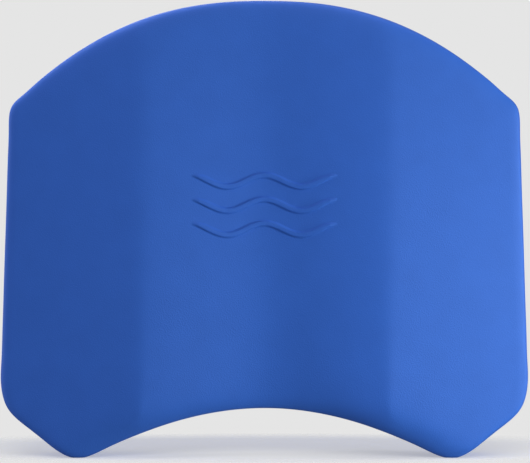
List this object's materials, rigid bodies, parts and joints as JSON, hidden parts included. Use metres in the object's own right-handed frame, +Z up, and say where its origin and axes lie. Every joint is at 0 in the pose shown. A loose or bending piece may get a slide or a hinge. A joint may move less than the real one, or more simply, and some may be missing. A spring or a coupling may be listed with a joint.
{
  "type": "kickboard float",
  "caption": "Blue foam swimming board with a domed top, a thigh groove between upright ridges on each face, tapered wings and an arched base with rounded feet",
  "frame": {"origin": "centre of the width and of the thickness, on the ground under the feet, with the board standing up on its feet", "axes": "+X across the width, to the right as seen from the front; +Y through the thickness, from the front with the emblem to the rear; +Z up from the feet to the domed top"},
  "size_m": [0.3412, 0.047, 0.2945],
  "materials": {
    "foam_skin": "matte",
    "foam_core": "matte",
    "bond": "satin"
  },
  "bodies": {
    "root": {"front_face_layer": "foam_skin", "front_bond_film": "bond", "core_layer": "foam_core", "rear_bond_film": "bond", "rear_face_layer": "foam_skin"}
  },
  "joints": []
}
